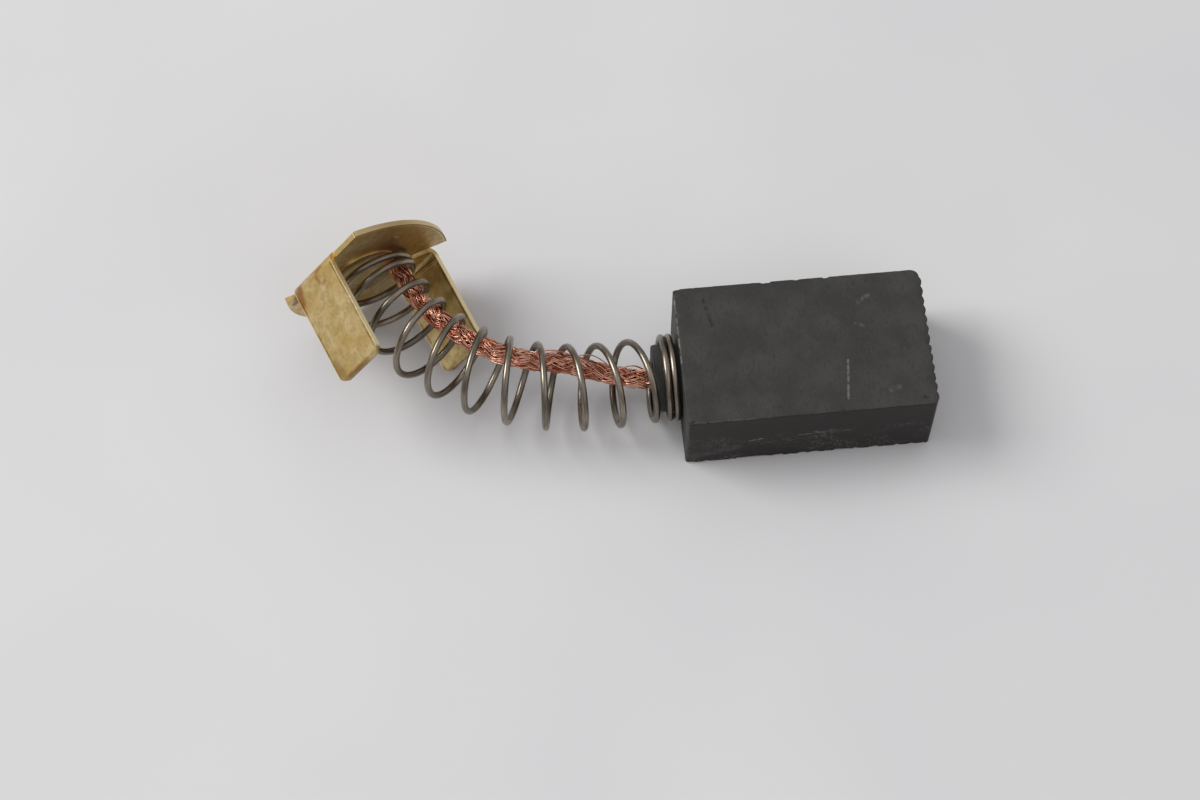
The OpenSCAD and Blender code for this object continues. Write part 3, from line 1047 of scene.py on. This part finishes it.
@dataclass
class Shunt:
    """Braided shunt: flat carriers of fine wires wound both ways, two over and two under, round a dark inner
    tube that is painted shade between the wires.

    Sizes in mm. A wire wanders aside by up to half of drift, and in or out by up to half of lift.
    """

    axis: BentAxis
    spring: Spring
    radius: float = 0.75
    clearance: float = 0.05
    start_depth: float = 1.7
    exit: float = 2.1
    boss_length: float = 1.9
    shift: float = 7.0
    into_solder: float = 0.2
    carriers: int = 12
    wires_each: int = 3
    wire_radius: float = 0.05
    wire_gap: float = 0.085
    lay: float = 10.0
    wave: float = 0.05
    drift: float = 0.26
    lift: float = 0.1
    loop_foot: float = 0.1
    loop_turn: float = 50.0
    loops: tuple[Loop, ...] = (
        Loop(5.2, 3.0, 0.42, 20.0),
        Loop(7.6, 3.4, 0.34, 8.0),
        Loop(7.9, 2.6, 0.22, 30.0),
        Loop(2.4, 2.2, 0.3, 35.0),
        Loop(12.5, 2.0, 0.12, 200.0),
    )
    steps: int = 190
    sides: int = 5

    def route(self) -> tuple[np.ndarray, np.ndarray, np.ndarray, np.ndarray]:
        """Centre line: straight in the boss, eased over to the inner side of the bend, then into the solder.

        Returns:
            Places, two directions across the line, and the length so far in mm, at even steps.
        """
        offset = (self.spring.coil_radius - self.spring.wire_radius - self.radius - self.clearance) * MM
        run = self.axis.run
        share = ease(run, self.exit * MM, (self.exit + self.shift) * MM)[:, None]
        back, height = -self.axis.back * MM, self.axis.height * MM
        straight = np.stack([back - run, np.zeros(len(run)), np.full(len(run), height)], axis=-1)
        bent = (1.0 - share) * straight + share * (self.axis.line + offset * self.axis.inner)
        inside = np.array([[back + self.start_depth * MM, 0.0, height]])
        ahead = unit(bent[-1] - bent[-2])
        beyond = bent[-1] + ahead * (self.axis.seat[0] + self.into_solder) * MM
        line = np.vstack([inside, bent[run >= self.boss_length * MM], beyond[None]])
        length = run_along(line)
        places = resampled(np.linspace(0.0, length[-1], self.steps), length, line)
        forward = unit(np.gradient(places, axis=0))
        across = unit(np.cross(forward, UP))
        step = np.linalg.norm(np.diff(places, axis=0), axis=1).mean() / MM
        return places, across, np.cross(across, forward), np.arange(self.steps) * step

    def carried(self, way: float) -> tuple[np.ndarray, np.ndarray]:
        """Wires of the carriers that wind one way.

        The angle grows by a full turn in each lay. The radius swings by the wave at the crossings, two over
        and two under.

        Args:
            way: 1 or -1, the sense of the winding.

        Returns:
            Centre lines and outward directions, as wire, step and coordinate.
        """
        draw = np.random.default_rng(5 if way > 0 else 6)
        places, across, over, run = self.route()
        number = np.repeat(np.arange(self.carriers), self.wires_each)
        aside = np.tile(np.arange(self.wires_each) - (self.wires_each - 1) / 2, self.carriers) * self.wire_gap
        middle = self.radius - self.wire_radius - self.wave - 0.03
        turned = 2 * np.pi * run[None] / self.lay
        fields = (run * 0.9, draw.random((len(number), 1)) * 40.0, 0.0)
        wander = np.stack([np.broadcast_to(values, (len(number), self.steps)) for values in fields], axis=-1)
        slip = aside[:, None] + self.drift * (grain(wander, 1.0, 21) - 0.5)
        angle = way * turned + 2 * np.pi * number[:, None] / self.carriers + slip / middle
        crossing = 2 * turned * self.carriers / (2 * np.pi)
        swing = np.clip(math.sqrt(2.0) * np.cos(np.pi * crossing / 2 - np.pi / 4), -1.0, 1.0)
        lift = self.lift * (grain(wander + 9.0, 0.7, 22) - 0.5)
        radius = (middle + way * self.wave * swing + lift) * MM
        outward = np.cos(angle)[..., None] * across[None] + np.sin(angle)[..., None] * over[None]
        return places[None] + radius[..., None] * outward, outward

    def shade_core(self) -> Shell:
        """Dark tube that fills the braid as painted shade between the wires, with a tone that marks it."""
        places, across, _, _ = self.route()
        shell = wires(places[None], across[None], (self.radius - 0.2) * MM, 16, 2)
        # Tone 2 gives the inner tube its near-black painted shade.
        shell.tone[:] = 2.0
        return shell

    def strays(self) -> Shell:
        """Wires that stand off the braid: the radius swells by a half sine along each loop."""
        *shape, run = self.route()
        made = None
        for loop in self.loops:
            at = np.linspace(loop.start, loop.start + loop.span, 30) + self.start_depth
            share = (at - at[0]) / loop.span
            centre, across, over = (resampled(at, run, values) for values in shape)
            angle = np.radians(loop.side + self.loop_turn * (share - 0.5))[:, None]
            outward = np.cos(angle) * across + np.sin(angle) * over
            swell = loop.swell * np.sin(np.pi * share)[:, None]
            path = centre + (self.radius - self.loop_foot + swell) * MM * outward
            shell = wires(path[None], outward[None], self.wire_radius * MM, 6, 3)
            made = shell if made is None else made.joined(shell)
        return made

    def build(self) -> None:
        """Makes the braid's piece, which stretches between the block and the terminal."""
        shell = self.shade_core().joined(self.strays())
        for seed, way in enumerate((1.0, -1.0)):
            paths, outward = self.carried(way)
            shell = shell.joined(wires(paths, outward, self.wire_radius * MM, self.sides, 30 + seed))
        piece = shell.piece("shunt_braid")
        dress(piece, BareCopper().material())
        stretch(piece)
        book(piece, Slot.BRAID, "shunt")


@dataclass
class Terminal:
    """Folded brass terminal with the solder on the back of its base. Sizes in mm."""

    lie: TerminalLie
    leg_length: float = 8.5
    leg_width: float = 4.5
    ear_radius: float = 9.0
    ear_centre: Point = (0.0, -0.5, -2.9)
    edge_radius: float = 0.1
    edge_steps: int = 3
    merge_within: float = 0.001
    flat_within_degrees: float = 0.6
    edge_from_degrees: float = 50.0

    def build(self) -> None:
        """Makes the terminal's piece, with rounded sheet edges, and dresses it and the solder."""
        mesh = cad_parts["terminal"].data.copy()
        mesh.name = "terminal_sheet"
        work = bmesh.new()
        work.from_mesh(mesh)
        bmesh.ops.remove_doubles(work, verts=work.verts, dist=self.merge_within * MM)
        flat = math.radians(self.flat_within_degrees)
        bmesh.ops.dissolve_limit(work, angle_limit=flat, verts=work.verts, edges=work.edges)
        work.to_mesh(mesh)
        work.free()
        mesh.materials.clear()
        mesh.shade_smooth()
        piece = linked("terminal_sheet", mesh)
        bevel = piece.modifiers.new("rounded_edges", "BEVEL")
        bevel.width = self.edge_radius * MM
        bevel.segments = self.edge_steps
        bevel.limit_method = "ANGLE"
        bevel.angle_limit = math.radians(self.edge_from_degrees)
        piece.modifiers.new("flat_faces", "WEIGHTED_NORMAL").keep_sharp = True
        dress(piece, RolledBrass().material(self))
        enter(piece, Body.TERMINAL, Slot.BRASS, "terminal")
        dress(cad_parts["solder_joint"], TinSolder().material())


# ---- Studio ----


@dataclass
class Studio:
    """Pale floor, one broad soft lamp, a weak fill and the camera. Sizes in metres."""

    focus: Point = (-0.01504, 0.00025, 0.0)
    distance: float = 0.215
    elevation: float = 65.29
    azimuth: float = -5.333
    lens: float = 85.87
    floor_colour: str = "d9d8d7"
    floor_shade: str = "d4d3d3"
    floor_half: float = 1.5
    floor_cloud_mm: float = 30.0
    sky_colour: str = "fbfbff"
    horizon: float = 0.3
    overhead: float = 0.64

    def camera(self) -> None:
        """Camera that looks down on the brush."""
        data = bpy.data.cameras.new("camera")
        data.lens = self.lens
        data.sensor_width = 36.0
        data.clip_start = 0.01
        rise, way = math.radians(self.elevation), math.radians(self.azimuth)
        level = self.distance * math.cos(rise)
        off = Vector((math.sin(way) * level, -math.cos(way) * level, self.distance * math.sin(rise)))
        camera = linked("camera", data)
        camera.location = Vector(self.focus) + off
        camera.rotation_euler = (-off).to_track_quat("-Z", "Y").to_euler()
        bpy.context.scene.camera = camera

    def floor(self) -> None:
        """Floor that the camera and the glossy metals see as a plain pale surface."""
        mesh = bpy.data.meshes.new("floor")
        half = self.floor_half
        corners = [(-half, -half, 0.0), (half, -half, 0.0), (half, half, 0.0), (-half, half, 0.0)]
        mesh.from_pydata(corners, [], [(0, 1, 2, 3)])
        piece = linked("floor", mesh)
        material, tree, shader = new_material("pale_floor")
        clouded = {"Vector": object_place(tree), "Scale": per_metre(self.floor_cloud_mm), "Detail": 2.0}
        shade = spread(tree, add(tree, "TexNoise", clouded), 0.3, 0.7)
        colour = layered(tree, self.floor_colour, [(shade, self.floor_shade)])
        feed(tree, shader, {"Base Color": colour, "Roughness": 0.9, "Specular IOR Level": 0.1})
        dress(piece, material)

    def lamp(self, name: str, place: Point, size: float, power: float) -> None:
        """Square area lamp that shines on the brush.

        Args:
            name: Name of the lamp.
            place: Where it stands.
            size: Its side.
            power: Its power in watts.
        """
        data = bpy.data.lights.new(name, "AREA")
        data.shape = "SQUARE"
        data.size = size
        data.energy = power
        lamp = linked(name, data)
        lamp.location = place
        lamp.rotation_euler = (Vector(self.focus) - Vector(place)).to_track_quat("-Z", "Y").to_euler()

    def world(self) -> None:
        """World that is bright overhead and dim at the horizon, so that the metals show contrast."""
        world = bpy.data.worlds.new("studio")
        world.use_nodes = True
        tree = world.node_tree
        tree.nodes.clear()
        direction = add(tree, "TexCoord").node.outputs["Generated"]
        height = add(tree, "SeparateXYZ", {0: direction}).node.outputs["Z"]
        rise = {"Value": height, "From Max": 0.9, "To Min": self.horizon, "To Max": self.overhead}
        strength = add(tree, "MapRange", rise)
        background = add(tree, "Background", {"Color": linear(self.sky_colour), "Strength": strength})
        add(tree, "OutputWorld", {"Surface": background})
        bpy.context.scene.world = world

    def build(self) -> None:
        """Sets up the camera, the floor, the lamps and the world."""
        self.camera()
        self.floor()
        self.lamp("key", place=(-0.5, 0.15, 0.48), size=0.36, power=3.2)
        self.lamp("fill", place=(0.25, -0.2, 0.3), size=0.4, power=0.15)
        self.lamp("card", place=(-0.5, -0.03, 0.09), size=0.3, power=0.035)
        self.world()
        bpy.context.scene.view_settings.view_transform = "Standard"


def main() -> None:
    """Builds the studio and each piece of the brush."""
    logging.basicConfig(level=logging.INFO, format="%(name)s: %(message)s")
    Studio().build()
    lie = TerminalLie()
    axis = BentAxis(lie)
    spring = Spring(axis)
    CarbonBlock().build()
    spring.build()
    Shunt(axis, spring).build()
    Terminal(lie).build()


if __name__ == "__main__":
    main()
